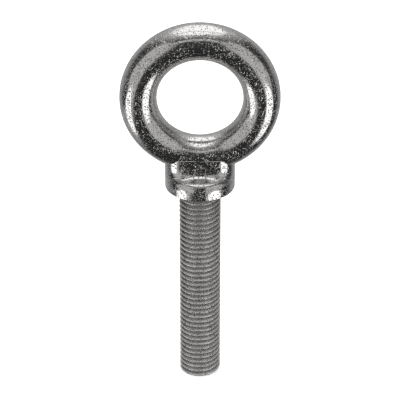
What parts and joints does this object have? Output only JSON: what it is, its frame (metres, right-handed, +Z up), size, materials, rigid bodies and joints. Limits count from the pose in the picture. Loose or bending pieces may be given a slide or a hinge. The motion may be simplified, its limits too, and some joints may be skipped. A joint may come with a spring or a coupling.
{
  "type": "shoulder eye bolt",
  "caption": "Forged shoulder eye bolt: a round-section lifting eye on a flat-sided neck and seat collar above a fully threaded shank.",
  "frame": {"origin": "centre of the collar's flat seat, on the shank's axis", "axes": "+Z up from the seat through the middle of the eye, with the shank hanging along -Z; the eye's opening runs along Y, so the ring lies in the XZ plane"},
  "size_m": [0.0716, 0.0318, 0.1797],
  "materials": {
    "polished_forging": "tumbled and polished steel with fine pits and scratches",
    "cut_thread": "satin steel thread, a little duller than the head"
  },
  "bodies": {
    "root": {"eye_ring": "polished_forging", "neck": "polished_forging", "shoulder_collar": "polished_forging", "threaded_shank": "cut_thread"}
  },
  "joints": []
}
